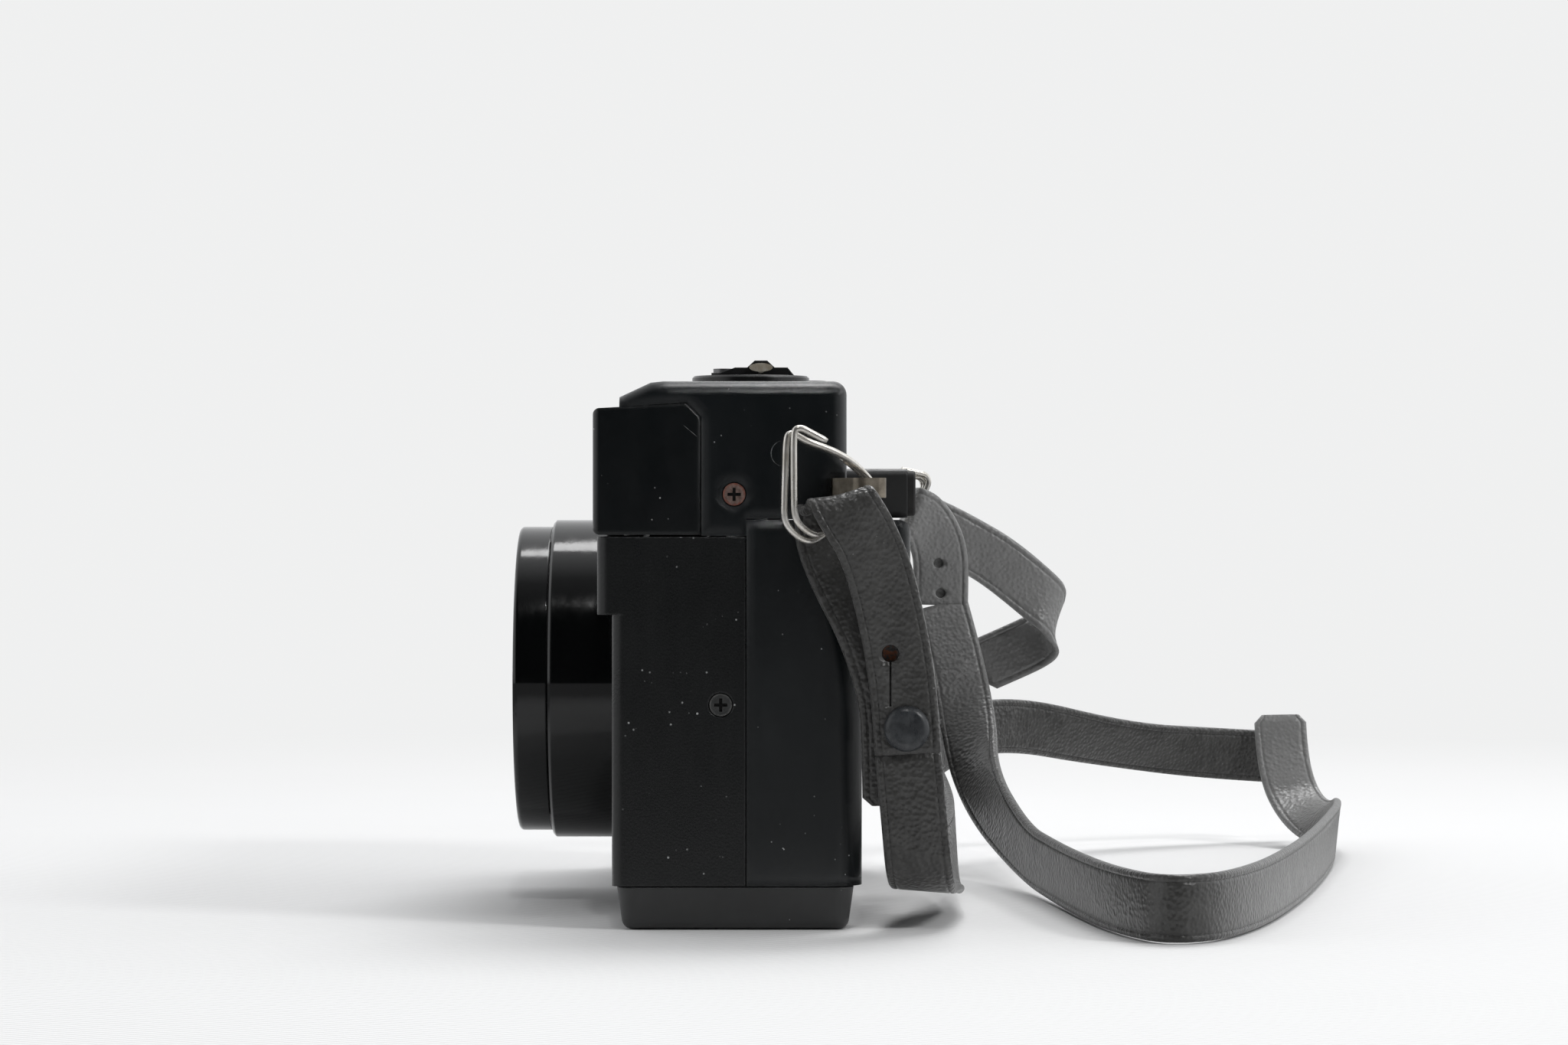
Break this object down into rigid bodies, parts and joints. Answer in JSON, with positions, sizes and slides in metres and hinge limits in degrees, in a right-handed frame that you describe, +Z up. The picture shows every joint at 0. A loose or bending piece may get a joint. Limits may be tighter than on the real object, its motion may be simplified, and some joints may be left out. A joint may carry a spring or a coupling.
{
  "type": "compact film camera",
  "caption": "Compact film camera with a fixed lens, folding rewind crank, hinged back and a long neck strap on split rings.",
  "frame": {"origin": "mouth of the tripod socket, in the base's lower face", "axes": "+Z up, the lens faces -Y, +X towards the end with the rewind knob and the film cartridge"},
  "size_m": [0.2095, 0.1388, 0.0813],
  "materials": {
    "gloss_black": "glossy, lightly scratched",
    "satin_black": "satin",
    "matte_black": "fine matte grain",
    "inner_black": "matte moulded",
    "ring_black": "glossy",
    "knob_black": "satin gloss",
    "lever_black": "satin",
    "rubber_black": "dull",
    "foam": "foam",
    "window_glass": "clear",
    "optical_glass": "coated",
    "steel": "brushed",
    "bright_metal": "bright, slightly worn",
    "crank_grey": "satin",
    "lug_metal": "dull",
    "worn_screw": "rusty",
    "black_screw": "blackened",
    "reflector": "polished",
    "blade": "blackened",
    "capacitor": "sleeved",
    "board": "lacquered",
    "battery": "sleeved",
    "sensor": "clear-faced",
    "dial": "satin",
    "button_metal": "satin",
    "release_grey": "satin",
    "strap": "grained leatherette",
    "stud": "semi-gloss, scuffed"
  },
  "bodies": {
    "camera_body": {"top_cover": "gloss_black", "front_panel": "gloss_black", "panel_windows": "window_glass", "front_body": "matte_black", "bottom_cover": "satin_black", "tripod_socket": "steel", "chassis": "inner_black", "door_hinge": "steel", "light_seals": "foam", "lens_barrel": "matte_black", "helicoid": "inner_black", "shutter_housing": "inner_black", "rear_glass": "optical_glass", "eyepiece_housing": "satin_black", "eyepiece_rim": "rubber_black", "finder_lenses": "optical_glass", "finder_tunnel": "inner_black", "flash_reflector": "reflector", "flash_tube": "optical_glass", "flash_capacitor": "capacitor", "light_sensor": "sensor", "circuit_board": "board", "batteries": "battery", "battery_contacts": "steel", "counter_window": "window_glass", "button_collar": "satin_black", "cover_screws": "worn_screw", "body_screws": "black_screw", "strap_lugs": "lug_metal", "strap_free_near": "strap", "strap_free_far": "strap", "strap_stud_far": "stud"},
    "door_body": {"back_door": "gloss_black", "pressure_spring": "steel"},
    "plate_body": {"pressure_plate": "inner_black"},
    "latch_body": {"door_latch": "steel"},
    "rewind_body": {"rewind_shaft": "steel", "rewind_knob": "knob_black", "crank_pin": "bright_metal"},
    "crank_body": {"crank_arm": "crank_grey"},
    "grip_body": {"crank_grip": "crank_grey"},
    "lever_body": {"advance_lever": "lever_black"},
    "spool_body": {"takeup_spool": "inner_black"},
    "sprocket_body": {"film_sprocket": "inner_black"},
    "dial_body": {"counter_dial": "dial"},
    "button_body": {"shutter_button": "button_metal"},
    "release_body": {"rewind_release_button": "release_grey"},
    "battery_door_body": {"battery_door": "satin_black", "battery_bridge": "steel"},
    "focus_body": {"focus_ring": "matte_black"},
    "cell_body": {"lens_cell": "matte_black", "name_ring": "ring_black", "lens_glass": "optical_glass"},
    "blade_near_body": {"blade_near": "blade"},
    "blade_far_body": {"blade_far": "blade"},
    "near_ring_body": {"near_ring": "bright_metal", "strap_near_end": "strap", "strap_stud_near": "stud"},
    "far_ring_body": {"far_ring": "bright_metal", "strap_far_end": "strap"}
  },
  "joints": [
    {"name": "door_hinge", "type": "hinge", "parent": "camera_body", "child": "door_body", "pos_m": [-0.0604, 0.0152, 0.032], "axis": [0, 0, 1], "range_deg": [0, 75], "deforming": ["strap_near_end", "strap_stud_near"]},
    {"name": "plate_press", "type": "slide", "parent": "door_body", "child": "plate_body", "axis": [0, 1, 0], "range_m": [0, 0.0008], "stiffness_N_per_m": 800, "deforming": ["pressure_spring"]},
    {"name": "latch_lift", "type": "slide", "parent": "camera_body", "child": "latch_body", "axis": [0, 0, 1], "range_m": [0, 0.006], "stiffness_N_per_m": 300},
    {"name": "rewind_turn", "type": "hinge", "parent": "latch_body", "child": "rewind_body", "pos_m": [0.046, 0.00184, 0.078], "axis": [0, 0, 1], "continuous": true},
    {"name": "crank_fold", "type": "hinge", "parent": "rewind_body", "child": "crank_body", "pos_m": [0.046, 0.00335, 0.0801], "axis": [-1, 0, 0], "range_deg": [0, 170]},
    {"name": "grip_spin", "type": "hinge", "parent": "crank_body", "child": "grip_body", "pos_m": [0.046, -0.0021, 0.0797], "axis": [0, 0, 1], "continuous": true},
    {"name": "advance", "type": "hinge", "parent": "camera_body", "child": "lever_body", "pos_m": [-0.042, 0.0046, 0.078], "axis": [0, 0, 1], "range_deg": [0, 135], "stiffness_Nm_per_rad": 0.02},
    {"name": "spool_turn", "type": "hinge", "parent": "camera_body", "child": "spool_body", "pos_m": [-0.042, 0.0046, 0.031], "axis": [0, 0, 1], "range_deg": [0, 311]},
    {"name": "sprocket_turn", "type": "hinge", "parent": "camera_body", "child": "sprocket_body", "pos_m": [-0.0254, 0.0066, 0.031], "axis": [0, 0, 1], "range_deg": [0, 361]},
    {"name": "counter_turn", "type": "hinge", "parent": "camera_body", "child": "dial_body", "pos_m": [-0.013, 0.003, 0.0755], "axis": [0, 0, 1], "range_deg": [0, 10]},
    {"name": "shutter_press", "type": "slide", "parent": "camera_body", "child": "button_body", "axis": [0, 0, -1], "range_m": [0, 0.0015], "stiffness_N_per_m": 600},
    {"name": "release_press", "type": "slide", "parent": "camera_body", "child": "release_body", "axis": [0, 0, 1], "range_m": [0, 0.0015], "stiffness_N_per_m": 500},
    {"name": "battery_door_hinge", "type": "hinge", "parent": "camera_body", "child": "battery_door_body", "pos_m": [-0.042, -0.00235, 0.001], "axis": [1, 0, 0], "range_deg": [0, 90]},
    {"name": "focus_turn", "type": "hinge", "parent": "camera_body", "child": "focus_body", "pos_m": [0, -0.0317, 0.0337], "axis": [0, -1, 0], "range_deg": [0, 90]},
    {"name": "cell_slide", "type": "slide", "parent": "camera_body", "child": "cell_body", "axis": [0, -1, 0], "range_m": [0, 0.0015]},
    {"name": "blade_near_turn", "type": "hinge", "parent": "camera_body", "child": "blade_near_body", "pos_m": [0, -0.0134, 0.0187], "axis": [0, 1, 0], "range_deg": [0, 34]},
    {"name": "blade_far_turn", "type": "hinge", "parent": "camera_body", "child": "blade_far_body", "pos_m": [0, -0.0134, 0.0187], "axis": [0, 1, 0], "range_deg": [-34.1, 0]},
    {"name": "near_ring_swing", "type": "hinge", "parent": "camera_body", "child": "near_ring_body", "pos_m": [0.0645, 0.01535, 0.0628], "axis": [0.848, 0.53, 0], "range_deg": [-30, 8], "deforming": ["strap_free_near"]},
    {"name": "far_ring_swing", "type": "hinge", "parent": "camera_body", "child": "far_ring_body", "pos_m": [-0.0634, 0.0207, 0.0628], "axis": [0.9404, 0.3401, 0], "range_deg": [-10, 30], "deforming": ["strap_free_far"]}
  ],
  "couplings": [
    {"joint": "spool_turn", "follows": "advance", "ratio": 2.3},
    {"joint": "sprocket_turn", "follows": "advance", "ratio": 2.6667},
    {"joint": "counter_turn", "follows": "advance", "ratio": 0.07},
    {"joint": "focus_turn", "follows": "cell_slide", "rad_per_m": 1047.1},
    {"joint": "blade_far_turn", "follows": "blade_near_turn", "ratio": -1}
  ]
}
